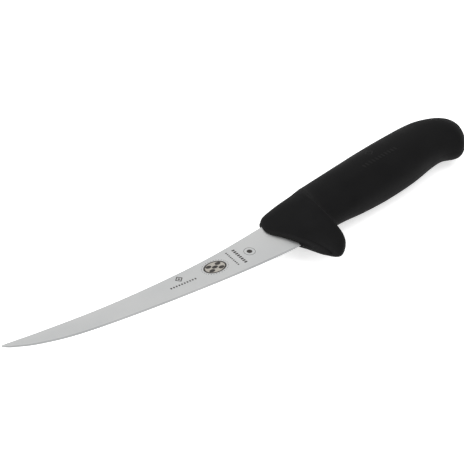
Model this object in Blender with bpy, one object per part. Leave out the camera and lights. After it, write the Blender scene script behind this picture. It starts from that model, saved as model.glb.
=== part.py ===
"""Curved boning knife: a ground steel blade with its tang, a rigid core on the tang and a moulded grip.

The knife lies on its side. +X runs from the point to the butt, +Y is the spine side and Z is the
thickness. Lengths below are millimetres from the place where the spine enters the grip, in the blade's
middle plane; the finished knife stands with the bottom centre of its box on the world origin.
"""

import math

import bmesh
import bpy

MM = 0.001          # metres in a millimetre
GAP = 0.3           # clearance between touching solids

# Blade: side outline as a few points on smooth curves, point of the blade first
SPINE_LINE = [(-150.0, -7.2), (-128.0, -9.1), (-98.0, -10.5), (-66.0, -9.9), (-34.0, -7.2), (0.0, -1.6),
              (12.0, 0.8)]
EDGE_LINE = [(-150.0, -8.2), (-148.0, -10.1), (-145.0, -11.9), (-136.0, -16.0), (-120.0, -20.2),
             (-98.0, -22.8), (-66.0, -24.8), (-30.0, -25.8), (0.0, -25.2), (12.0, -23.6)]
BLADE_TIP_X = -150.0
BLADE_ROOT_X = 12.0
STEEL_THICKNESS = 2.0        # sheet, and spine at the heel
TIP_THICKNESS = 0.8          # spine at the point
EDGE_THICKNESS = 0.5         # above the sharpened bevel
BEVEL_WIDTH = 1.1            # of the sharpened bevel
BLADE_STATIONS = 30
TIP_CROWDING = 1.5           # above 1, stations crowd towards the point

# Tang: spine-side and belly-side outline, front to back
TANG_TOP = [(7.0, -3.5), (30.0, 1.5), (96.0, 12.2), (99.0, 10.5)]
TANG_BOTTOM = [(14.5, -21.0), (21.0, -20.5), (31.0, -10.5), (97.0, 0.4), (99.6, 2.4)]
TANG_HOLES = [(44.0, -2.8), (64.0, 0.6), (84.0, 3.9)]
TANG_HOLE_RADIUS = 3.0
HOLE_SIDES = 20

# Grip ribs, nose to butt. Each rib crosses the grip from a point on its back to a point on its belly:
# back x, back y, belly x, belly y, half thickness, fullness of the section, forward bow of the
# flank, share of the nose bow
GRIP_RIBS = [
    (0.6, 1.6, 14.8, -38.6, 3.2, 2.4, 0.0, 0.9),      # end of the rounded front lip
    (4.3, 4.6, 17.0, -41.2, 4.4, 2.5, 0.2, 0.55),
    (10.5, 6.6, 19.9, -41.2, 6.0, 2.5, 0.6, 0.15),   # lowest point of the finger guard
    (17.0, 8.1, 24.7, -37.3, 8.0, 2.3, 1.4, 0.0),
    (24.0, 9.6, 27.6, -32.6, 10.0, 2.0, 2.4, 0.0),
    (28.5, 10.1, 27.6, -27.4, 10.9, 2.1, 3.0, 0.0),   # crest of the ridge
    (32.0, 10.9, 28.0, -22.5, 10.3, 2.2, 2.6, 0.0),
    (36.0, 12.2, 31.0, -19.4, 9.2, 2.2, 1.4, 0.0),     # finger hollow
    (43.0, 13.6, 41.0, -17.6, 9.6, 2.2, 0.4, 0.0),
    (56.0, 15.5, 56.0, -16.1, 10.9, 2.3, 0.0, 0.0),
    (74.0, 19.0, 74.0, -13.9, 11.6, 2.3, 0.0, 0.0),    # fullest part of the palm
    (93.0, 22.5, 94.0, -10.0, 11.4, 2.3, 0.0, 0.0),
    (110.0, 25.4, 111.0, -5.3, 10.8, 2.2, 0.0, 0.0),
    (120.0, 26.0, 120.5, -3.8, 10.4, 2.2, 0.0, 0.0),   # waist in front of the butt hook
    (128.0, 24.2, 129.2, -6.1, 10.3, 2.2, 0.0, 0.0),
    (133.3, 22.0, 134.6, -2.8, 9.1, 2.2, 0.0, 0.0),
    (137.4, 19.0, 138.1, 2.3, 7.0, 2.2, 0.0, 0.0),
    (140.2, 15.4, 140.5, 8.0, 4.0, 2.1, 0.0, 0.0),     # start of the rounded end
]
# How far the nose bows forward of the straight ribs: share of the way from back to belly, millimetres.
# A rib's last value says how much of this it takes.
NOSE_BOW = [(0.0, -0.4), (0.06, 1.0), (0.13, 2.6), (0.2, 2.9), (0.27, 2.4), (0.36, 1.4), (0.48, 0.6),
            (0.6, 0.2), (0.68, -0.2), (0.78, -0.2), (0.9, 0.0), (1.0, 0.0)]
NOSE_DIRECTION = (-0.943, -0.333)
LIP_DEPTH = 1.9              # how far the rounded lip stands in front of the first rib
LIP_STEPS = 3
LIP_DIRECTION = (-0.86, -0.51)
BUTT_DEPTH = 1.3             # how far the rounded end stands behind the last rib
BUTT_STEPS = 2
GRIP_STEPS = 2               # sections from one rib to the next
GRIP_SIDES = 28

# Rigid core: ribs as above, well inside the grip
CORE_RIBS = [
    (11.0, 1.6, 16.5, -24.5, 3.4, 3.0, 0.0, 0.0),
    (22.0, 4.6, 23.0, -24.0, 5.4, 3.0, 0.0, 0.0),
    (33.0, 7.4, 33.0, -15.4, 5.8, 2.8, 0.0, 0.0),
    (52.0, 11.0, 52.0, -12.4, 7.0, 2.6, 0.0, 0.0),
    (76.0, 15.6, 76.0, -9.6, 7.8, 2.6, 0.0, 0.0),
    (102.0, 19.8, 102.0, -3.4, 7.4, 2.6, 0.0, 0.0),
    (124.0, 21.0, 124.0, 0.4, 6.4, 2.6, 0.0, 0.0),
]
CORE_SIDES = 20
CORE_STEPS = 1


def catmull_rom(points, steps):
    """Points on a smooth curve through the given points, with this many steps from one to the next."""
    first = [2 * a - b for a, b in zip(points[0], points[1])]
    last = [2 * a - b for a, b in zip(points[-1], points[-2])]
    padded = [first, *points, last]
    curve = []
    for index in range(len(points) - 1):
        p0, p1, p2, p3 = padded[index:index + 4]
        for step in range(steps):
            t = step / steps
            curve.append(tuple(
                0.5 * (2 * b + (c - a) * t + (2 * a - 5 * b + 4 * c - d) * t ** 2
                       + (3 * b - a - 3 * c + d) * t ** 3)
                for a, b, c, d in zip(p0, p1, p2, p3)))
    curve.append(tuple(points[-1]))
    return curve


def height_at(curve, x):
    """The y of a polyline at this x; the curve runs towards +X."""
    for (x0, y0), (x1, y1) in zip(curve, curve[1:]):
        if x <= x1:
            return y0 + (y1 - y0) * (x - x0) / (x1 - x0)
    return curve[-1][1]


NOSE_CURVE = catmull_rom(NOSE_BOW, 4)


def make_object(name, bm, parent):
    """Turn a bmesh whose coordinates are millimetres into an object in metres."""
    bmesh.ops.scale(bm, vec=(MM, MM, MM), verts=bm.verts)
    bmesh.ops.recalc_face_normals(bm, faces=bm.faces)
    mesh = bpy.data.meshes.new(name)
    bm.to_mesh(mesh)
    bm.free()
    made = bpy.data.objects.new(name, mesh)
    bpy.context.scene.collection.objects.link(made)
    made.parent = parent
    return made


def loft(sections):
    """A closed bmesh through rings of points; a flat face closes each end."""
    bm = bmesh.new()
    rings = [[bm.verts.new(point) for point in section] for section in sections]
    for ring, following in zip(rings, rings[1:]):
        for index, vert in enumerate(ring):
            after = (index + 1) % len(ring)
            bm.faces.new((vert, ring[after], following[after], following[index]))
    bm.faces.new(rings[0][::-1])
    bm.faces.new(rings[-1])
    return bm


def plate(outline, half_thickness):
    """A flat plate with this outline, centred on the middle plane."""
    bm = bmesh.new()
    face = bm.faces.new([bm.verts.new((x, y, -half_thickness)) for x, y in outline])
    raised = bmesh.ops.extrude_face_region(bm, geom=[face])
    lifted = [item for item in raised["geom"] if isinstance(item, bmesh.types.BMVert)]
    bmesh.ops.translate(bm, verts=lifted, vec=(0, 0, 2 * half_thickness))
    return bm


def cut(target, cutter, operation="DIFFERENCE"):
    """Add a Boolean to the target and keep its helper out of sight."""
    modifier = target.modifiers.new(cutter.name, "BOOLEAN")
    modifier.operation = operation
    modifier.solver = "EXACT"
    modifier.object = cutter
    cutter.hide_render = True
    cutter.display_type = "WIRE"


def finish(made, colour, roughness, metallic):
    """Give a sub-part its own material and smooth shading."""
    material = bpy.data.materials.new(made.name)
    material.use_nodes = True
    shader = material.node_tree.nodes["Principled BSDF"]
    shader.inputs["Base Color"].default_value = (*colour, 1.0)
    shader.inputs["Roughness"].default_value = roughness
    shader.inputs["Metallic"].default_value = metallic
    made.data.materials.append(material)
    made.data.shade_smooth()
    made.data.set_sharp_from_angle(angle=math.radians(35))


def blade_sections(grow=0.0):
    """Sections of the ground blade from the point to inside the grip, thickened all round by grow."""
    spine = catmull_rom(SPINE_LINE, 8)
    edge = catmull_rom(EDGE_LINE, 8)
    length = BLADE_ROOT_X - BLADE_TIP_X
    sections = []
    for station in range(BLADE_STATIONS + 1):
        share = (station / BLADE_STATIONS) ** TIP_CROWDING
        x = BLADE_TIP_X + length * share
        top = height_at(spine, x)
        bottom = height_at(edge, x)
        spine_half = (TIP_THICKNESS + (STEEL_THICKNESS - TIP_THICKNESS) * share) / 2
        bevel = min(BEVEL_WIDTH, 0.4 * (top - bottom))
        edge_half = min(EDGE_THICKNESS / 2, 0.5 * spine_half)
        sections.append([
            (x, top + grow, spine_half + grow),
            (x, bottom + bevel, edge_half + grow),
            (x, bottom - grow, 0.0),
            (x, bottom + bevel, -edge_half - grow),
            (x, top + grow, -spine_half - grow),
        ])
    return sections


def tang_outline(grow=0.0):
    """The tang's side outline, widened by grow on both long sides and at its end."""
    end = len(TANG_TOP) - 1
    top = [(x + (grow if index == end else 0), y + grow) for index, (x, y) in enumerate(TANG_TOP)]
    bottom = [(x + (grow if x > TANG_TOP[-1][0] else 0), y - grow) for x, y in TANG_BOTTOM]
    return top + bottom[::-1]


def peg(x, y, radius, half_length):
    """A round peg across the middle plane."""
    ring = []
    for side in range(HOLE_SIDES):
        angle = 2 * math.pi * side / HOLE_SIDES
        ring.append((x + radius * math.cos(angle), y + radius * math.sin(angle)))
    return plate(ring, half_length)


def ribbed_sections(ribs, steps, sides):
    """Rings of points around a form that smooth ribs describe."""
    return [rib_ring(rib, sides) for rib in catmull_rom(ribs, steps)]


def rib_ring(rib, sides):
    """The closed section that one rib describes: a superellipse with a flat facet at its back, its belly
    and each flank, so that the knife has something flat to lie on."""
    back_x, back_y, belly_x, belly_y, half, fullness, bow, nose = rib
    reach = math.cos(math.pi / sides) ** (2 / fullness)
    ring = []
    for side in range(sides):
        angle = 2 * math.pi * (side + 0.5) / sides
        across = math.copysign(abs(math.cos(angle)) ** (2 / fullness), math.cos(angle)) / reach
        out = math.copysign(abs(math.sin(angle)) ** (2 / fullness), math.sin(angle)) / reach
        ahead = nose * height_at(NOSE_CURVE, (1 - across) / 2)
        x = (back_x + belly_x) / 2 + (back_x - belly_x) / 2 * across - bow * math.sin(angle) ** 2
        x += ahead * NOSE_DIRECTION[0]
        y = (back_y + belly_y) / 2 + (back_y - belly_y) / 2 * across + ahead * NOSE_DIRECTION[1]
        ring.append((x, y, half * out))
    return ring


def lip_ribs():
    """Ribs that round the grip's front edge, outermost first."""
    back_x, back_y, belly_x, belly_y, half, fullness, bow, nose = GRIP_RIBS[0]
    length = math.hypot(back_x - belly_x, back_y - belly_y)
    along = ((belly_x - back_x) / length, (belly_y - back_y) / length)
    ribs = []
    for step in range(LIP_STEPS):
        angle = math.pi / 2 * (step + 0.5) / LIP_STEPS
        ahead = LIP_DEPTH * math.cos(angle)
        pull = LIP_DEPTH * (1 - math.sin(angle))
        shift_x = ahead * LIP_DIRECTION[0]
        shift_y = ahead * LIP_DIRECTION[1]
        ribs.append((back_x + shift_x + pull * along[0], back_y + shift_y + pull * along[1],
                     belly_x + shift_x - pull * along[0], belly_y + shift_y - pull * along[1],
                     half * math.sin(angle), fullness, bow, 1.0))
    return ribs


def butt_ribs():
    """Ribs that round the butt's end, from behind the last grip rib to just before its pole."""
    back_x, back_y, belly_x, belly_y, half, fullness, bow, nose = GRIP_RIBS[-1]
    centre = ((back_x + belly_x) / 2, (back_y + belly_y) / 2)
    reach = ((back_x - belly_x) / 2, (back_y - belly_y) / 2)
    ribs = []
    for step in range(1, BUTT_STEPS + 1):
        angle = math.pi / 2 * (step - 0.2) / BUTT_STEPS
        x = centre[0] + BUTT_DEPTH * math.sin(angle)
        height = math.cos(angle)
        ribs.append((x + reach[0] * height, centre[1] + reach[1] * height,
                     x - reach[0] * height, centre[1] - reach[1] * height, half * height, fullness, bow, nose))
    return ribs


def grip_sections():
    """Rings of the grip's outside, from the front lip to the butt."""
    rings = [rib_ring(rib, GRIP_SIDES) for rib in lip_ribs()]
    rings += ribbed_sections(GRIP_RIBS, GRIP_STEPS, GRIP_SIDES)
    rings += [rib_ring(rib, GRIP_SIDES) for rib in butt_ribs()]
    return rings


def core_ribs(grow=0.0):
    """The core's ribs, grown all round."""
    ribs = []
    for back_x, back_y, belly_x, belly_y, half, fullness, bow, nose in CORE_RIBS:
        shift = 0.0
        if back_x == CORE_RIBS[0][0]:
            shift = -grow
        if back_x == CORE_RIBS[-1][0]:
            shift = grow
        ribs.append((back_x + shift, back_y + grow, belly_x + shift, belly_y - grow,
                     half + grow, fullness, bow, nose))
    return ribs


def build_blade(knife):
    """Ground blade and stamped tang in one piece of steel, with the tang's key holes."""
    blade = make_object("blade", loft(blade_sections()), knife)
    tang = make_object("tang_form", plate(tang_outline(), STEEL_THICKNESS / 2 - 0.02), knife)
    cut(blade, tang, "UNION")
    for index, (x, y) in enumerate(TANG_HOLES):
        hole = make_object(f"tang_hole_{index + 1}", peg(x, y, TANG_HOLE_RADIUS, STEEL_THICKNESS), knife)
        cut(blade, hole)
    finish(blade, (0.62, 0.63, 0.64), 0.3, 1.0)
    return blade


def build_core(knife):
    """Rigid core, moulded round the tang and through its holes."""
    core = make_object("handle_core", loft(ribbed_sections(core_ribs(), CORE_STEPS, CORE_SIDES)), knife)
    pocket = make_object("tang_pocket", plate(tang_outline(GAP), STEEL_THICKNESS / 2 + GAP), knife)
    for index, (x, y) in enumerate(TANG_HOLES):
        key = make_object(f"core_key_{index + 1}", peg(x, y, TANG_HOLE_RADIUS - GAP, STEEL_THICKNESS), knife)
        cut(pocket, key)
    cut(core, pocket)
    root = make_object("root_pocket", loft(blade_sections(GAP)), knife)
    cut(core, root)
    finish(core, (0.09, 0.09, 0.095), 0.5, 0.0)
    return core


def build_grip(knife):
    """Moulded grip: nose, finger guard, hollow, palm and hooked butt, open where the blade comes out."""
    grip = make_object("grip", loft(grip_sections()), knife)
    chamber_sections = ribbed_sections(core_ribs(GAP), CORE_STEPS, CORE_SIDES)
    chamber = make_object("core_chamber", loft(chamber_sections), knife)
    cut(grip, chamber)
    slot = make_object("blade_slot", loft(blade_sections(GAP)), knife)
    cut(grip, slot)
    passage = make_object("tang_passage", plate(tang_outline(GAP), STEEL_THICKNESS / 2 + GAP - 0.02), knife)
    cut(grip, passage)
    finish(grip, (0.02, 0.02, 0.021), 0.55, 0.0)
    return grip


def stand_on_origin(knife, parts):
    """Move the knife so that the bottom centre of its box is the world origin."""
    points = [vertex.co for part in parts for vertex in part.data.vertices]
    lows = [min(point[axis] for point in points) for axis in range(3)]
    highs = [max(point[axis] for point in points) for axis in range(3)]
    knife.location = (-(lows[0] + highs[0]) / 2, -(lows[1] + highs[1]) / 2, -lows[2])


def main():
    for existing in list(bpy.data.objects):
        bpy.data.objects.remove(existing, do_unlink=True)
    knife = bpy.data.objects.new("boning_knife", None)
    bpy.context.scene.collection.objects.link(knife)
    parts = [build_blade(knife), build_core(knife), build_grip(knife)]
    stand_on_origin(knife, parts)


main()
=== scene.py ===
"""Looks of the curved boning knife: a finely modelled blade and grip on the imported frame."""

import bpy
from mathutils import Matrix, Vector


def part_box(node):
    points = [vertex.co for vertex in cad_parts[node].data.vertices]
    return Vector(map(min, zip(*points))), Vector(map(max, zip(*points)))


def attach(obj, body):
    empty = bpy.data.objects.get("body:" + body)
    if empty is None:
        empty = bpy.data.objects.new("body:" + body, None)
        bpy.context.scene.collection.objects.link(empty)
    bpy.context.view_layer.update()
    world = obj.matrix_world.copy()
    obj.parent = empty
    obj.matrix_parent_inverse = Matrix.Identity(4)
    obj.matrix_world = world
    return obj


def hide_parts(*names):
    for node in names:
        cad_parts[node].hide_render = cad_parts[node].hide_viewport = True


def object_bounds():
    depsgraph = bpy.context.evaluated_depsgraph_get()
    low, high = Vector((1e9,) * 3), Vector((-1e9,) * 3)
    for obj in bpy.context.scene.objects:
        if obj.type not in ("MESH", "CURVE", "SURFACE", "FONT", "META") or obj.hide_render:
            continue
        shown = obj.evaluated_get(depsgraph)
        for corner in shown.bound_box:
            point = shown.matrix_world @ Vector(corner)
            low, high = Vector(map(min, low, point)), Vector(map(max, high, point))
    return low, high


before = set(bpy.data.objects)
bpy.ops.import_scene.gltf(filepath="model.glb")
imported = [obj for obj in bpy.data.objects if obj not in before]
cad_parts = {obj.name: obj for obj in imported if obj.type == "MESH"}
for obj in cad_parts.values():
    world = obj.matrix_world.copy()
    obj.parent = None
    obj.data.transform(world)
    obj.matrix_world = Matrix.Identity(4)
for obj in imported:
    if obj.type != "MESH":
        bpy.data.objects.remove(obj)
cad_box = [list(corner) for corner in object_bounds()]

import math

import bmesh
import bpy
from mathutils import Vector
from mathutils.bvhtree import BVHTree

MM = 0.001          # metres in a millimetre

# ---------------------------------------------------------------- places, from the frame
# Outlines below are in the knife's own millimetres: from the place where the spine enters the grip, in the
# blade's middle plane, +X to the butt and +Y to the spine. ORIGIN is that place in the frame, in metres.
POINT_X = -150.0
TANG_TOP_Y = 12.2
blade_low, blade_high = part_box("blade")
grip_low, grip_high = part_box("grip")
ORIGIN = Vector((blade_low.x - POINT_X * MM, blade_high.y - TANG_TOP_Y * MM, (grip_low.z + grip_high.z) / 2))

# ---------------------------------------------------------------- blade
SPINE_LINE = [(-150.0, -7.2), (-128.0, -9.1), (-98.0, -10.5), (-66.0, -9.9), (-34.0, -7.2), (0.0, -1.6),
              (12.0, 0.8)]
EDGE_LINE = [(-150.0, -8.2), (-148.0, -10.1), (-145.0, -11.9), (-136.0, -16.0), (-120.0, -20.2),
             (-98.0, -22.8), (-66.0, -24.8), (-30.0, -25.8), (0.0, -25.2), (12.0, -23.6)]
OUTLINE_STEPS = 16           # from one point of these outlines to the next
ROOT_X = 12.0                # where the blade's own form ends, inside the grip
STEEL_THICKNESS = 2.0        # sheet, and spine at the heel
TIP_THICKNESS = 0.8          # spine at the point
EDGE_THICKNESS = 0.5         # above the sharpened bevel
BEVEL_WIDTH = 1.1            # of the sharpened bevel
BEVEL_LAND = 0.04            # width left at the very edge
SPINE_EASE = 0.22            # radius on the spine's corners
EASE_STEPS = 3               # faces round each of the spine's corners
BLADE_STATIONS = 150         # steps from the point to the root
TIP_CROWDING = 1.5           # above 1, the steps are finer towards the point
FLANK_ROWS = 6               # faces from the spine to the bevel
BLADE_SHARP_ANGLE = 7        # degrees between faces from which an edge is drawn sharp

# Near the point these keep the section's details in proportion: the most that each may take.
EDGE_SHARE = 0.5             # edge, of the spine's thickness
BEVEL_SHARE = 0.4            # bevel, of the blade's height
LAND_SHARE = 0.3             # half the land, of half the edge's thickness
EASE_HEIGHT_SHARE = 0.3      # spine's radius, of the blade's height
EASE_THICKNESS_SHARE = 0.4   # spine's radius, of half the spine's thickness

TANG_TOP = [(7.0, -3.5), (30.0, 1.5), (96.0, 12.2), (99.0, 10.5)]
TANG_BOTTOM = [(14.5, -21.0), (21.0, -20.5), (31.0, -10.5), (97.0, 0.4), (99.6, 2.4)]
TANG_HOLES = [(44.0, -2.8), (64.0, 0.6), (84.0, 3.9)]
TANG_HOLE_RADIUS = 3.0
TANG_INSET = 0.02            # by which the tang's faces lie inside the sheet's
HOLE_SIDES = 48

# ---------------------------------------------------------------- grip, rib by rib from nose to butt:
# back x, back y, belly x, belly y, half thickness, fullness of the section, forward bow of the
# flank, share of the nose bow
GRIP_RIBS = [
    (0.6, 1.6, 14.8, -38.6, 3.2, 2.4, 0.0, 0.9),
    (4.3, 4.6, 17.0, -41.2, 4.4, 2.5, 0.2, 0.55),
    (10.5, 6.6, 19.9, -41.2, 6.0, 2.5, 0.6, 0.15),
    (17.0, 8.1, 24.7, -37.3, 8.0, 2.3, 1.4, 0.0),
    (24.0, 9.6, 27.6, -32.6, 10.0, 2.0, 2.4, 0.0),
    (28.5, 10.1, 27.6, -27.4, 10.9, 2.1, 3.0, 0.0),
    (32.0, 10.9, 28.0, -22.5, 10.3, 2.2, 2.6, 0.0),
    (36.0, 12.2, 31.0, -19.4, 9.2, 2.2, 1.4, 0.0),
    (43.0, 13.6, 41.0, -17.6, 9.6, 2.2, 0.4, 0.0),
    (56.0, 15.5, 56.0, -16.1, 10.9, 2.3, 0.0, 0.0),
    (74.0, 19.0, 74.0, -13.9, 11.6, 2.3, 0.0, 0.0),
    (93.0, 22.5, 94.0, -10.0, 11.4, 2.3, 0.0, 0.0),
    (110.0, 25.4, 111.0, -5.3, 10.8, 2.2, 0.0, 0.0),
    (120.0, 25.92, 120.5, -3.8, 10.4, 2.2, 0.0, 0.0),
    (128.0, 24.2, 129.2, -6.1, 10.3, 2.2, 0.0, 0.0),
    (133.3, 22.0, 134.6, -2.8, 9.1, 2.2, 0.0, 0.0),
    (137.4, 19.0, 138.1, 2.3, 7.0, 2.2, 0.0, 0.0),
    (140.2, 15.4, 140.5, 8.0, 4.0, 2.1, 0.0, 0.0),
]
# How far the nose bows forward of the straight ribs: share of the way from back to belly, millimetres.
# A rib's last value says how much of this it takes.
NOSE_BOW = [(0.0, -0.4), (0.06, 1.0), (0.13, 2.6), (0.2, 2.9), (0.27, 2.4), (0.36, 1.4), (0.48, 0.6),
            (0.6, 0.2), (0.68, -0.2), (0.78, -0.2), (0.9, 0.0), (1.0, 0.0)]
NOSE_STEPS = 8
NOSE_DIRECTION = (-0.943, -0.333)
LIP_DEPTH = 1.9              # of the rounding in front of the first rib
LIP_STEPS = 8
LIP_DIRECTION = (-0.86, -0.51)
BUTT_DEPTH = 1.3             # of the rounding behind the last rib
BUTT_STEPS = 8
GRIP_STEPS = 10              # from one rib to the next
GRIP_SIDES = 144
GRIP_SHARP_ANGLE = 40        # degrees
FLANK_SHARE = 0.984          # of the CAD's thickness, which leaves room for the raised marks
SEAM_DEPTH = 0.04            # parting line of the mould, round the middle plane
SEAM_DEPTH_BUTT = 0.16       # the same round the butt
SEAM_START_X = 112.0         # where it starts to deepen
SEAM_HALF_WIDTH = 0.35       # from the middle plane to where the line fades out
SEAM_ANGLES = [0.004, 0.012, 0.022]     # extra rows beside the middle plane, in radians

# The core's ribs, in the same form.
CORE_RIBS = [
    (11.0, 1.6, 16.5, -24.5, 3.4, 3.0, 0.0, 0.0),
    (22.0, 4.6, 23.0, -24.0, 5.4, 3.0, 0.0, 0.0),
    (33.0, 7.4, 33.0, -15.4, 5.8, 2.8, 0.0, 0.0),
    (52.0, 11.0, 52.0, -12.4, 7.0, 2.6, 0.0, 0.0),
    (76.0, 15.6, 76.0, -9.6, 7.8, 2.6, 0.0, 0.0),
    (102.0, 19.8, 102.0, -3.4, 7.4, 2.6, 0.0, 0.0),
    (124.0, 21.0, 124.0, 0.4, 6.4, 2.6, 0.0, 0.0),
]
CORE_SIDES = 40
CORE_GAP = 0.45              # between the grip's inside and the core
SLOT_GAP = 0.02              # between the moulded grip and the steel

# ---------------------------------------------------------------- marks
ETCH_HEIGHT = 0.012
MOULDED_HEIGHT = 0.16
PLAIN_SHARP_ANGLE = 30       # degrees, also for the cutters
CENTRE_SHARE = 0.02          # size of the small loop in the middle of a filled shape
BAR_CLIP = 0.25              # of a bar's smaller side, cut off each corner
ABOVE_GRIP = 40.0            # from where the grip's surface is looked for, downwards

# Diamonds and bands are given by their middle and their outer and inner half size.
BLADE_DIAMOND = (-57.5, -13.2, 2.1, 1.45)
DIAMOND_DOT_RADIUS = 0.55
BLADE_BAND = (-17.0, -14.5, 2.95, 2.75)
BAND_DISC_RADIUS = 1.4
GRIP_DIAMOND = (76.0, 8.1, 2.6, 1.9)
OVAL_CENTRE = (-38.0, -15.2)
OVAL_GROUND = (5.3, 3.6)     # half axes of the pale ground
OVAL_BAND = (6.2, 5.3)       # outer and inner half length of the band round it
OVAL_SQUASH = 0.68           # the band's height over its length
OVAL_SPOT = (1.6, 1.05)      # half axes of each dark spot
OVAL_SPACING = (2.7, 1.65)   # between the dark spots
OVAL_DOTS = 30
DOT_TRACK = (7.1, 4.9)       # half axes of the oval on which the dots lie
DOT_RADIUS = 0.2
# Rows of bars: start, end, count, a bar's width and height.
BLADE_ROWS = [
    ((-65.2, -17.1), (-50.0, -17.3), 10, 0.85, 1.05),
    ((-27.4, -8.8), (-27.4, -20.4), 9, 0.75, 0.9),
    ((-23.3, -8.8), (-23.3, -20.9), 8, 0.95, 1.7),
]
GRIP_ROW = ((64.6, -0.8), (90.8, 3.4), 11, 1.3, 2.6)

# ---------------------------------------------------------------- colours (two ends of a ramp) and roughness
STEEL_COLOURS = ((0.735, 0.745, 0.745), (0.785, 0.790, 0.785))
STEEL_ROUGHNESS = (0.29, 0.43)
# Darker steel for the bevels, land and eased spine: partly the sharpened bevels' own greyer finish, partly
# painted shade where these narrow faces reflect less light.
EDGE_FINISH_AND_PAINTED_SHADE_COLOURS = ((0.50, 0.51, 0.515), (0.60, 0.605, 0.605))
EDGE_ROUGHNESS = (0.34, 0.50)
GRIP_COLOURS = ((0.0035, 0.0035, 0.0037), (0.0065, 0.0065, 0.0067))
GRIP_ROUGHNESS = (0.62, 0.76)
RAISED_COLOURS = ((0.006, 0.006, 0.006), (0.009, 0.009, 0.009))
RAISED_ROUGHNESS = (0.48, 0.56)
ETCH_DARK = ((0.020, 0.018, 0.017), (0.055, 0.050, 0.046))
ETCH_PALE = ((0.30, 0.28, 0.25), (0.42, 0.40, 0.36))
CORE_COLOURS = ((0.075, 0.075, 0.08), (0.11, 0.11, 0.115))
NOISE_RANGE = (0.3, 0.7)     # where most of a noise's values lie


# ================================================================ curves and meshes
def catmull_rom(points, steps):
    """Points on a smooth curve through the given points, with this many steps from one to the next."""
    first = [2 * a - b for a, b in zip(points[0], points[1])]
    last = [2 * a - b for a, b in zip(points[-1], points[-2])]
    padded = [first, *points, last]
    curve = []
    for index in range(len(points) - 1):
        p0, p1, p2, p3 = padded[index:index + 4]
        for step in range(steps):
            t = step / steps
            curve.append(tuple(
                0.5 * (2 * b + (c - a) * t + (2 * a - 5 * b + 4 * c - d) * t ** 2
                       + (3 * b - a - 3 * c + d) * t ** 3)
                for a, b, c, d in zip(p0, p1, p2, p3)))
    curve.append(tuple(points[-1]))
    return curve


def height_at(curve, x):
    """The y of a polyline at this x; the curve runs towards +X."""
    for (x0, y0), (x1, y1) in zip(curve, curve[1:]):
        if x <= x1:
            return y0 + (y1 - y0) * (x - x0) / (x1 - x0)
    return curve[-1][1]


SPINE_CURVE = catmull_rom(SPINE_LINE, OUTLINE_STEPS)
EDGE_CURVE = catmull_rom(EDGE_LINE, OUTLINE_STEPS)
NOSE_CURVE = catmull_rom(NOSE_BOW, NOSE_STEPS)


def make_piece(name, bm, sharp_angle):
    """Turn a bmesh in the knife's millimetres into an object that stands at ORIGIN."""
    bmesh.ops.scale(bm, vec=(MM, MM, MM), verts=bm.verts)
    bmesh.ops.recalc_face_normals(bm, faces=bm.faces)
    mesh = bpy.data.meshes.new(name)
    bm.to_mesh(mesh)
    bm.free()
    mesh.shade_smooth()
    mesh.set_sharp_from_angle(angle=math.radians(sharp_angle))
    piece = bpy.data.objects.new(name, mesh)
    piece.location = ORIGIN
    bpy.context.scene.collection.objects.link(piece)
    return piece


def loft(sections):
    """A closed bmesh through rings of points; a flat face closes each end."""
    bm = bmesh.new()
    rings = [[bm.verts.new(point) for point in section] for section in sections]
    for ring, following in zip(rings, rings[1:]):
        for index, vert in enumerate(ring):
            after = (index + 1) % len(ring)
            bm.faces.new((vert, ring[after], following[after], following[index]))
    bm.faces.new(rings[0][::-1])
    bm.faces.new(rings[-1])
    return bm


def plate(outline, half_thickness):
    """A flat plate with this outline, centred on the middle plane."""
    bm = bmesh.new()
    face = bm.faces.new([bm.verts.new((x, y, -half_thickness)) for x, y in outline])
    raised = bmesh.ops.extrude_face_region(bm, geom=[face])
    lifted = [item for item in raised["geom"] if isinstance(item, bmesh.types.BMVert)]
    bmesh.ops.translate(bm, verts=lifted, vec=(0, 0, 2 * half_thickness))
    return bm


def combine(piece, cutters, operation, sharp_angle):
    """Apply one Boolean per cutter to the piece, and remove the cutters."""
    for cutter in cutters:
        modifier = piece.modifiers.new("boolean", "BOOLEAN")
        modifier.operation = operation
        modifier.solver = "EXACT"
        modifier.object = cutter
    bpy.context.view_layer.update()
    evaluated = piece.evaluated_get(bpy.context.evaluated_depsgraph_get())
    combined = bpy.data.meshes.new_from_object(evaluated)
    old = piece.data
    piece.modifiers.clear()
    piece.data = combined
    combined.name = piece.name
    bpy.data.meshes.remove(old)
    combined.shade_smooth()
    combined.set_sharp_from_angle(angle=math.radians(sharp_angle))
    for cutter in cutters:
        bpy.data.objects.remove(cutter, do_unlink=True)


# ================================================================ blade
def blade_profile(x):
    """Spine height, edge height, half thickness at the spine and above the bevel, bevel width at x."""
    share = (x - POINT_X) / (ROOT_X - POINT_X)
    top = height_at(SPINE_CURVE, x)
    bottom = height_at(EDGE_CURVE, x)
    spine_half = (TIP_THICKNESS + (STEEL_THICKNESS - TIP_THICKNESS) * share) / 2
    edge_half = min(EDGE_THICKNESS / 2, EDGE_SHARE * spine_half)
    bevel = min(BEVEL_WIDTH, BEVEL_SHARE * (top - bottom))
    return top, bottom, spine_half, edge_half, bevel


def flank_height(x, y):
    """Height of the blade's upper flank above the middle plane."""
    top, bottom, spine_half, edge_half, bevel = blade_profile(x)
    share = (top - y) / (top - bottom - bevel)
    return spine_half + (edge_half - spine_half) * share


def blade_stations():
    """The x of each section, crowded towards the point."""
    length = ROOT_X - POINT_X
    shares = [station / BLADE_STATIONS for station in range(BLADE_STATIONS + 1)]
    return [POINT_X + length * share ** TIP_CROWDING for share in shares]


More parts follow.
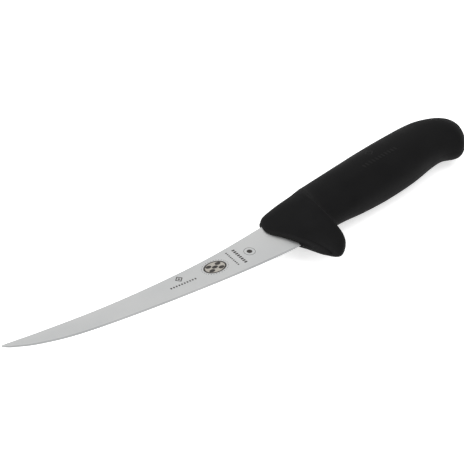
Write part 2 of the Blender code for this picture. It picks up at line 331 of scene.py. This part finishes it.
def blade_ring(x):
    """One section: eased spine, flat ground flanks, sharpened bevel with a fine land."""
    top, bottom, spine_half, edge_half, bevel = blade_profile(x)
    ease = min(SPINE_EASE, EASE_HEIGHT_SHARE * (top - bottom), EASE_THICKNESS_SHARE * spine_half)
    side = []
    for step in range(EASE_STEPS + 1):
        angle = math.pi / 2 * step / EASE_STEPS
        side.append((top - ease * (1 - math.cos(angle)), spine_half - ease * (1 - math.sin(angle))))
    corner_y, corner_z = side[-1]
    shoulder = bottom + bevel
    for step in range(1, FLANK_ROWS + 1):
        share = step / FLANK_ROWS
        side.append((corner_y + (shoulder - corner_y) * share, corner_z + (edge_half - corner_z) * share))
    side.append((bottom, min(BEVEL_LAND / 2, LAND_SHARE * edge_half)))
    return [(x, y, z) for y, z in side] + [(x, y, -z) for y, z in reversed(side)]


def slot_ring(x, grow):
    """One plain section of the blade, thickened all round."""
    top, bottom, spine_half, edge_half, bevel = blade_profile(x)
    return [(x, top + grow, spine_half + grow),
            (x, bottom + bevel, edge_half + grow),
            (x, bottom - grow, 0.0),
            (x, bottom + bevel, -edge_half - grow),
            (x, top + grow, -spine_half - grow)]


def tang_plate():
    """The stamped tang's plate."""
    return plate(TANG_TOP + TANG_BOTTOM[::-1], STEEL_THICKNESS / 2 - TANG_INSET)


def hole_peg(x, y):
    """A round peg that cuts one of the tang's holes."""
    turn = 2 * math.pi / HOLE_SIDES
    ring = [(x + TANG_HOLE_RADIUS * math.cos(turn * side), y + TANG_HOLE_RADIUS * math.sin(turn * side))
            for side in range(HOLE_SIDES)]
    return plate(ring, STEEL_THICKNESS)


def mark_edges_and_painted_spine_shade(bm):
    """Give the whole form but its flanks and ends the second material: eased spine, bevels and land. Its
    darker steel is partly the sharpened bevels' own greyer finish and partly painted shade on the bevels and
    eased spine.
    """
    points = len(blade_ring(ROOT_X))
    for index, face in enumerate(bm.faces):
        place = index % points
        from_spine = min(place, points - 2 - place)
        on_flank = EASE_STEPS <= from_spine < EASE_STEPS + FLANK_ROWS
        if index < points * BLADE_STATIONS and not on_flank:
            face.material_index = 1


def build_blade():
    """The blade with its tang, which has the key holes cut through it."""
    form = loft([blade_ring(x) for x in blade_stations()])
    mark_edges_and_painted_spine_shade(form)
    blade = make_piece("blade_and_tang", form, BLADE_SHARP_ANGLE)
    tang = make_piece("tang_form", tang_plate(), PLAIN_SHARP_ANGLE)
    combine(blade, [tang], "UNION", BLADE_SHARP_ANGLE)
    pegs = [make_piece("hole", hole_peg(x, y), PLAIN_SHARP_ANGLE) for x, y in TANG_HOLES]
    combine(blade, pegs, "DIFFERENCE", BLADE_SHARP_ANGLE)
    return blade


# ================================================================ grip
def ring_angles():
    """Angles of a section's points, with extra rows beside the middle plane for the parting line."""
    turn = 2 * math.pi / GRIP_SIDES
    angles = [turn * side for side in range(GRIP_SIDES)]
    for middle in (0.0, math.pi):
        for offset in SEAM_ANGLES:
            angles += [middle + offset, middle - offset]
    return sorted(angle % (2 * math.pi) for angle in angles)


def rib_ring(rib, angles, seam=0.0):
    """The closed section that one rib describes, with the parting line sunk by seam."""
    back_x, back_y, belly_x, belly_y, half, fullness, bow, nose = rib
    ring = []
    reach = math.hypot(back_x - belly_x, back_y - belly_y) / 2
    for angle in angles:
        across = math.copysign(abs(math.cos(angle)) ** (2 / fullness), math.cos(angle))
        out = math.copysign(abs(math.sin(angle)) ** (2 / fullness), math.sin(angle))
        z = FLANK_SHARE * half * out
        sink = seam * max(0.0, 1 - abs(z) / SEAM_HALF_WIDTH) / max(reach, 1.0)
        across *= 1 - sink
        ahead = nose * height_at(NOSE_CURVE, (1 - across) / 2)
        x = (back_x + belly_x) / 2 + (back_x - belly_x) / 2 * across - bow * math.sin(angle) ** 2
        x += ahead * NOSE_DIRECTION[0]
        y = (back_y + belly_y) / 2 + (back_y - belly_y) / 2 * across + ahead * NOSE_DIRECTION[1]
        ring.append((x, y, z))
    return ring


def lip_ribs():
    """Ribs that round the grip's front edge, outermost first."""
    back_x, back_y, belly_x, belly_y, half, fullness, bow, _ = GRIP_RIBS[0]
    length = math.hypot(back_x - belly_x, back_y - belly_y)
    along = ((belly_x - back_x) / length, (belly_y - back_y) / length)
    ribs = []
    for step in range(LIP_STEPS):
        angle = math.pi / 2 * (step + 0.5) / LIP_STEPS
        ahead = LIP_DEPTH * math.cos(angle)
        pull = LIP_DEPTH * (1 - math.sin(angle))
        shift_x = ahead * LIP_DIRECTION[0]
        shift_y = ahead * LIP_DIRECTION[1]
        ribs.append((back_x + shift_x + pull * along[0], back_y + shift_y + pull * along[1],
                     belly_x + shift_x - pull * along[0], belly_y + shift_y - pull * along[1],
                     half * math.sin(angle), fullness, bow, 1.0))
    return ribs


def butt_ribs():
    """Ribs that round the butt's end, from behind the last grip rib to just before its pole."""
    back_x, back_y, belly_x, belly_y, half, fullness, bow, nose = GRIP_RIBS[-1]
    centre = ((back_x + belly_x) / 2, (back_y + belly_y) / 2)
    reach = ((back_x - belly_x) / 2, (back_y - belly_y) / 2)
    ribs = []
    for step in range(1, BUTT_STEPS + 1):
        angle = math.pi / 2 * (step - 0.2) / BUTT_STEPS
        x = centre[0] + BUTT_DEPTH * math.sin(angle)
        height = math.cos(angle)
        ribs.append((x + reach[0] * height, centre[1] + reach[1] * height,
                     x - reach[0] * height, centre[1] - reach[1] * height,
                     half * height, fullness, bow, nose))
    return ribs


def grip_form():
    """The grip's outside as a closed bmesh."""
    angles = ring_angles()
    rings = [rib_ring(rib, angles) for rib in lip_ribs()]
    for rib in catmull_rom(GRIP_RIBS, GRIP_STEPS):
        towards_butt = min(1.0, max(0.0, (rib[0] - SEAM_START_X) / (GRIP_RIBS[-1][0] - SEAM_START_X)))
        rings.append(rib_ring(rib, angles, SEAM_DEPTH + (SEAM_DEPTH_BUTT - SEAM_DEPTH) * towards_butt))
    last_half = GRIP_RIBS[-1][4]
    rings += [rib_ring(rib, angles, SEAM_DEPTH_BUTT * rib[4] / last_half) for rib in butt_ribs()]
    return loft(rings)


def core_chamber():
    """The space inside the grip that the core fills."""
    ribs = []
    for back_x, back_y, belly_x, belly_y, half, fullness, bow, nose in CORE_RIBS:
        shift = {CORE_RIBS[0][0]: -CORE_GAP, CORE_RIBS[-1][0]: CORE_GAP}.get(back_x, 0.0)
        ribs.append((back_x + shift, back_y + CORE_GAP, belly_x + shift, belly_y - CORE_GAP,
                     half + CORE_GAP, fullness, bow, nose))
    angles = [2 * math.pi * side / CORE_SIDES for side in range(CORE_SIDES)]
    return loft([rib_ring(rib, angles) for rib in ribs])


def build_grip():
    """The moulded grip, and a search tree of its outside for what stands on it."""
    grip = make_piece("moulded_grip", grip_form(), GRIP_SHARP_ANGLE)
    surface = BVHTree.FromPolygons([vertex.co.copy() for vertex in grip.data.vertices],
                                   [tuple(face.vertices) for face in grip.data.polygons])
    slot_form = loft([slot_ring(x, SLOT_GAP) for x in blade_stations()])
    slot = make_piece("blade_slot", slot_form, PLAIN_SHARP_ANGLE)
    chamber = make_piece("core_chamber", core_chamber(), PLAIN_SHARP_ANGLE)
    combine(grip, [chamber], "DIFFERENCE", GRIP_SHARP_ANGLE)
    combine(grip, [slot], "DIFFERENCE", GRIP_SHARP_ANGLE)
    return grip, surface


# ================================================================ marks
def shrunk(outline):
    """A small copy of an outline round its middle."""
    middle_x = sum(x for x, y in outline) / len(outline)
    middle_y = sum(y for x, y in outline) / len(outline)
    return [(middle_x + (x - middle_x) * CENTRE_SHARE, middle_y + (y - middle_y) * CENTRE_SHARE)
            for x, y in outline]


def marks(name, outlines, height_of, thickness):
    """Thin raised shapes that follow a surface: each outline is (outer loop, inner loop or None)."""
    bm = bmesh.new()
    for outer, hole in outlines:
        inner = shrunk(outer) if hole is None else hole
        levels = [(outer, -thickness), (outer, thickness), (inner, thickness)]
        if hole is not None:
            levels.append((inner, -thickness))
        loops = []
        for outline, lift in levels:
            loops.append([bm.verts.new((x, y, height_of(x, y) + lift)) for x, y in outline])
        if hole is None:
            bm.faces.new(loops[0][::-1])
            bm.faces.new(loops[-1])
            following_loops = loops[1:]
        else:
            following_loops = loops[1:] + loops[:1]
        for low, high in zip(loops, following_loops):
            for index in range(len(outer)):
                after = (index + 1) % len(outer)
                bm.faces.new((low[index], low[after], high[after], high[index]))
    return make_piece(name, bm, PLAIN_SHARP_ANGLE)


def oval(x, y, along, across, sides=40):
    """An oval outline round x, y with these half axes."""
    turn = 2 * math.pi / sides
    return [(x + along * math.cos(turn * side), y + across * math.sin(turn * side)) for side in range(sides)]


def bar(x, y, width, height, tilt):
    """A small upright bar with clipped corners."""
    clip = BAR_CLIP * min(width, height)
    half_w = width / 2
    half_h = height / 2
    corners = [(half_w, -half_h + clip), (half_w, half_h - clip), (half_w - clip, half_h),
               (-half_w + clip, half_h), (-half_w, half_h - clip), (-half_w, -half_h + clip),
               (-half_w + clip, -half_h), (half_w - clip, -half_h)]
    cos = math.cos(tilt)
    sin = math.sin(tilt)
    return [(x + cos * a - sin * b, y + sin * a + cos * b) for a, b in corners]


def row(start, end, count, width, height):
    """A row of plain equal bars, from start to end."""
    tilt = math.atan2(end[1] - start[1], end[0] - start[0])
    shapes = []
    for index in range(count):
        share = (index + 0.5) / count
        x = start[0] + (end[0] - start[0]) * share
        y = start[1] + (end[1] - start[1]) * share
        shapes.append((bar(x, y, width, height, tilt), None))
    return shapes


def hoop(x, y, outer, inner, squash=1.0):
    """A round band, or an oval one if it is squashed across."""
    return (oval(x, y, outer, outer * squash), oval(x, y, inner, inner * squash))


def diamond(x, y, outer, inner):
    """A plain hollow diamond."""
    loops = [[(x + size, y), (x, y + size), (x - size, y), (x, y - size)] for size in (outer, inner)]
    return (loops[0], loops[1])


def oval_shapes():
    """Dots round an oval band, and the dark spots inside it."""
    x, y = OVAL_CENTRE
    shapes = []
    for dot in range(OVAL_DOTS):
        angle = 2 * math.pi * dot / OVAL_DOTS
        dot_x = x + DOT_TRACK[0] * math.cos(angle)
        dot_y = y + DOT_TRACK[1] * math.sin(angle)
        shapes.append((oval(dot_x, dot_y, DOT_RADIUS, DOT_RADIUS, 8), None))
    shapes.append(hoop(x, y, *OVAL_BAND, OVAL_SQUASH))
    for column in (-1, 0, 1):
        for line in (-1, 0, 1):
            if (column + line) % 2 == 0:
                spot_x = x + OVAL_SPACING[0] * column
                spot_y = y + OVAL_SPACING[1] * line
                shapes.append((oval(spot_x, spot_y, *OVAL_SPOT, 20), None))
    return shapes


def build_marks(surface):
    """Plain etched shapes on the blade and plain raised shapes on the grip, where the knife has its marks."""
    diamond_dot = oval(*BLADE_DIAMOND[:2], DIAMOND_DOT_RADIUS, DIAMOND_DOT_RADIUS, 16)
    band_disc = oval(*BLADE_BAND[:2], BAND_DISC_RADIUS, BAND_DISC_RADIUS, 24)
    dark = [diamond(*BLADE_DIAMOND), (diamond_dot, None)]
    for blade_row in BLADE_ROWS:
        dark += row(*blade_row)
    dark += [hoop(*BLADE_BAND), (band_disc, None)]
    dark += oval_shapes()
    pale = [(oval(*OVAL_CENTRE, *OVAL_GROUND), None)]
    raised = [diamond(*GRIP_DIAMOND)] + row(*GRIP_ROW)

    def etched_height(x, y):
        return flank_height(x, y) + ETCH_HEIGHT / 2

    def moulded_height(x, y):
        hit = surface.ray_cast(Vector((x, y, ABOVE_GRIP)) * MM, Vector((0, 0, -1)))
        return hit[0].z / MM - MOULDED_HEIGHT / 2

    blade_marks = marks("etched_marks", dark, etched_height, ETCH_HEIGHT)
    blade_tint = marks("etched_oval_ground", pale, flank_height, ETCH_HEIGHT)
    grip_marks = marks("moulded_marks", raised, moulded_height, MOULDED_HEIGHT)
    return blade_marks, blade_tint, grip_marks


# ================================================================ materials
def new_material(name, roughness, metallic, specular):
    """A material and its shader, with these uniform values on it."""
    material = bpy.data.materials.new(name)
    material.use_nodes = True
    shader = material.node_tree.nodes["Principled BSDF"]
    shader.inputs["Roughness"].default_value = roughness
    shader.inputs["Metallic"].default_value = metallic
    shader.inputs["Specular IOR Level"].default_value = specular
    return material, shader


def add(material, kind, **settings):
    """A new node; a setting is a socket's name with _ for a space, or an attribute of the node."""
    node = material.node_tree.nodes.new(kind)
    for key, value in settings.items():
        if hasattr(node, key):
            setattr(node, key, value)
        else:
            node.inputs[key.replace("_", " ")].default_value = value
    return node


def link(material, source, output, target, socket):
    """Join a node's output to another node's socket."""
    material.node_tree.links.new(source.outputs[output], target.inputs[socket])


def stretched_noise(material, scale, detail=3.0):
    """Noise in the piece's own space, with its own scale per axis (features per metre)."""
    coordinates = add(material, "ShaderNodeTexCoord")
    mapping = add(material, "ShaderNodeMapping")
    mapping.inputs["Scale"].default_value = scale
    noise = add(material, "ShaderNodeTexNoise", Scale=1.0, Detail=detail)
    link(material, coordinates, "Object", mapping, "Vector")
    link(material, mapping, "Vector", noise, "Vector")
    return noise


def ramp(material, source, low, high, colours):
    """A colour ramp from a noise's range low..high to two colours."""
    node = add(material, "ShaderNodeValToRGB")
    node.color_ramp.elements[0].position = low
    node.color_ramp.elements[1].position = high
    node.color_ramp.elements[0].color = (*colours[0], 1.0)
    node.color_ramp.elements[1].color = (*colours[1], 1.0)
    link(material, source, "Fac", node, "Fac")
    return node


def spread(material, source, socket, low, high):
    """A noise's middle range, spread from low to high."""
    node = add(material, "ShaderNodeMapRange")
    node.inputs["From Min"].default_value = NOISE_RANGE[0]
    node.inputs["From Max"].default_value = NOISE_RANGE[1]
    node.inputs["To Min"].default_value = low
    node.inputs["To Max"].default_value = high
    link(material, source, socket, node, "Value")
    return node


def bump(material, source, socket, strength, distance, before=None):
    """A bump of this depth in metres, on top of the bump before it."""
    node = add(material, "ShaderNodeBump", Strength=strength, Distance=distance)
    link(material, source, socket, node, "Height")
    if before is not None:
        link(material, before, "Normal", node, "Normal")
    return node


def steel_material(name, colours, roughness):
    """Stainless steel, finely ground from spine to edge: lines across the blade and soft clouds."""
    material, shader = new_material(name, 0.34, 1.0, 0.5)
    lines = stretched_noise(material, (5200.0, 90.0, 90.0), 4.0)
    clouds = stretched_noise(material, (22.0, 60.0, 60.0), 2.0)
    tint = ramp(material, clouds, 0.35, 0.65, colours)
    link(material, tint, "Color", shader, "Base Color")
    link(material, spread(material, lines, "Fac", *roughness), "Result", shader, "Roughness")
    link(material, bump(material, lines, "Fac", 0.12, 0.00002), "Normal", shader, "Normal")
    return material


def grip_material(name, colours, roughness):
    """Matte moulded elastomer: a fine spark-eroded grain over soft variation in sheen."""
    material, shader = new_material(name, 0.6, 0.0, 0.08)
    coordinates = add(material, "ShaderNodeTexCoord")
    grain = add(material, "ShaderNodeTexVoronoi", Scale=2100.0, Randomness=1.0)
    link(material, coordinates, "Object", grain, "Vector")
    fine = stretched_noise(material, (3800.0, 3800.0, 3800.0), 2.0)
    clouds = stretched_noise(material, (75.0, 75.0, 75.0), 3.0)
    tint = ramp(material, clouds, *NOISE_RANGE, colours)
    link(material, tint, "Color", shader, "Base Color")
    link(material, spread(material, clouds, "Fac", *roughness), "Result", shader, "Roughness")
    coarse = bump(material, grain, "Distance", 0.35, 0.00006)
    link(material, bump(material, fine, "Fac", 0.25, 0.00004, coarse), "Normal", shader, "Normal")
    return material


def etch_material(name, colours):
    """Laser-darkened steel with an uneven depth of colour."""
    material, shader = new_material(name, 0.6, 0.0, 0.3)
    speckle = stretched_noise(material, (2600.0, 2600.0, 2600.0), 3.0)
    link(material, ramp(material, speckle, 0.35, 0.65, colours), "Color", shader, "Base Color")
    link(material, spread(material, speckle, "Fac", 0.5, 0.75), "Result", shader, "Roughness")
    return material


def core_material():
    """Rigid glass-filled plastic as moulded, with a faint flow pattern."""
    material, shader = new_material("core_plastic_moulded", 0.5, 0.0, 0.4)
    flow = stretched_noise(material, (60.0, 400.0, 400.0), 3.0)
    link(material, ramp(material, flow, *NOISE_RANGE, CORE_COLOURS), "Color", shader, "Base Color")
    link(material, spread(material, flow, "Fac", 0.42, 0.58), "Result", shader, "Roughness")
    return material


def floor_material():
    """A plain pale sweep that glows slightly, so that shadows on it stay faint."""
    material, shader = new_material("pale_floor", 0.9, 0.0, 0.1)
    shader.inputs["Base Color"].default_value = (0.86, 0.86, 0.86, 1.0)
    shader.inputs["Emission Color"].default_value = (1.0, 1.0, 1.0, 1.0)
    shader.inputs["Emission Strength"].default_value = 0.62
    return material


# ================================================================ studio
CAMERA_TARGET = Vector((-14.08, 4.25, 0.0))              # in the knife's own millimetres
CAMERA_DIRECTION = Vector((-0.47276, -0.66278, 0.58070))  # from the target to the camera
CAMERA_DISTANCE = 0.780                                   # metres
CAMERA_LENS = 122.2
SENSOR_WIDTH = 36.0

WORLD_STRENGTH = 0.67
FLOOR_HALF = 3.0             # metres from the floor's middle to its edge
# Lamps: name, place in metres, side in metres, radiance. They point at the frame's origin.
SOFTBOXES = [
    ("top_softbox", (0.35, -0.45, 1.2), 1.1, 1.5),
    ("back_softbox", (0.9, 1.6, 0.4), 0.9, 0.5),
    ("left_softbox", (-1.2, 0.0, 0.55), 0.9, 6.0),
]
SOFTBOX_TARGET = Vector((0.0, 0.0, 0.0))


def build_camera():
    """A still camera at CAMERA_DISTANCE from its target."""
    data = bpy.data.cameras.new("camera")
    data.lens = CAMERA_LENS
    data.sensor_width = SENSOR_WIDTH
    camera = bpy.data.objects.new("camera", data)
    target = ORIGIN + CAMERA_TARGET * MM
    direction = CAMERA_DIRECTION.normalized()
    camera.location = target + direction * CAMERA_DISTANCE
    camera.rotation_euler = (-direction).to_track_quat("-Z", "Y").to_euler()
    bpy.context.scene.collection.objects.link(camera)
    bpy.context.scene.camera = camera


def softbox(name, location, size, radiance):
    """A square area light of this side in metres that looks as bright as radiance."""
    data = bpy.data.lights.new(name, "AREA")
    data.shape = "SQUARE"
    data.size = size
    data.energy = radiance * math.pi * size * size
    light = bpy.data.objects.new(name, data)
    light.location = location
    light.rotation_euler = (SOFTBOX_TARGET - Vector(location)).to_track_quat("-Z", "Y").to_euler()
    bpy.context.scene.collection.objects.link(light)


def build_studio():
    """White surroundings, the lamps and the floor."""
    scene = bpy.context.scene
    world = bpy.data.worlds.new("studio")
    world.use_nodes = True
    background = world.node_tree.nodes["Background"]
    background.inputs["Color"].default_value = (1.0, 1.0, 1.0, 1.0)
    background.inputs["Strength"].default_value = WORLD_STRENGTH
    scene.world = world
    for name, location, size, radiance in SOFTBOXES:
        softbox(name, location, size, radiance)
    bm = bmesh.new()
    corners = ((-1, -1), (1, -1), (1, 1), (-1, 1))
    bm.faces.new([bm.verts.new((x * FLOOR_HALF, y * FLOOR_HALF, 0.0)) for x, y in corners])
    mesh = bpy.data.meshes.new("floor")
    bm.to_mesh(mesh)
    bm.free()
    floor = bpy.data.objects.new("floor", mesh)
    floor.location.z = cad_box[0][2]
    mesh.materials.append(floor_material())
    scene.collection.objects.link(floor)
    scene.view_settings.view_transform = "Standard"
    scene.view_settings.look = "None"


# ================================================================ the knife
def dress(piece, material, slot, *replaced):
    """Give a piece its material, and let it ride with the knife's one body."""
    piece.data.materials.append(material)
    if replaced:
        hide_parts(*replaced)
    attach(piece, "root")


def build_knife():
    """Every piece of the knife, each with its material; the core keeps its own mesh."""
    grip, surface = build_grip()
    blade_marks, blade_tint, grip_marks = build_marks(surface)
    grip_look = grip_material("grip_elastomer_fine", GRIP_COLOURS, GRIP_ROUGHNESS)
    raised_look = grip_material("grip_elastomer_polished", RAISED_COLOURS, RAISED_ROUGHNESS)
    flank_look = steel_material("ground_steel_fine", STEEL_COLOURS, STEEL_ROUGHNESS)
    # The second, darker steel: partly the bevels' own greyer finish, partly painted shade on the bevels and
    # eased spine.
    edge_finish_and_shade_look = steel_material("ground_steel_edge_and_painted_shade", EDGE_FINISH_AND_PAINTED_SHADE_COLOURS, EDGE_ROUGHNESS)
    blade = build_blade()
    dress(blade, flank_look, "ground_steel", "blade")
    blade.data.materials.append(edge_finish_and_shade_look)
    dress(grip, grip_look, "grip_elastomer", "grip")
    dress(grip_marks, raised_look, "grip_elastomer")
    dress(blade_marks, etch_material("etch_dark", ETCH_DARK), "ground_steel")
    dress(blade_tint, etch_material("etch_pale", ETCH_PALE), "ground_steel")
    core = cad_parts["handle_core"]
    core.data.materials.clear()
    core.data.materials.append(core_material())


build_knife()
build_studio()
build_camera()
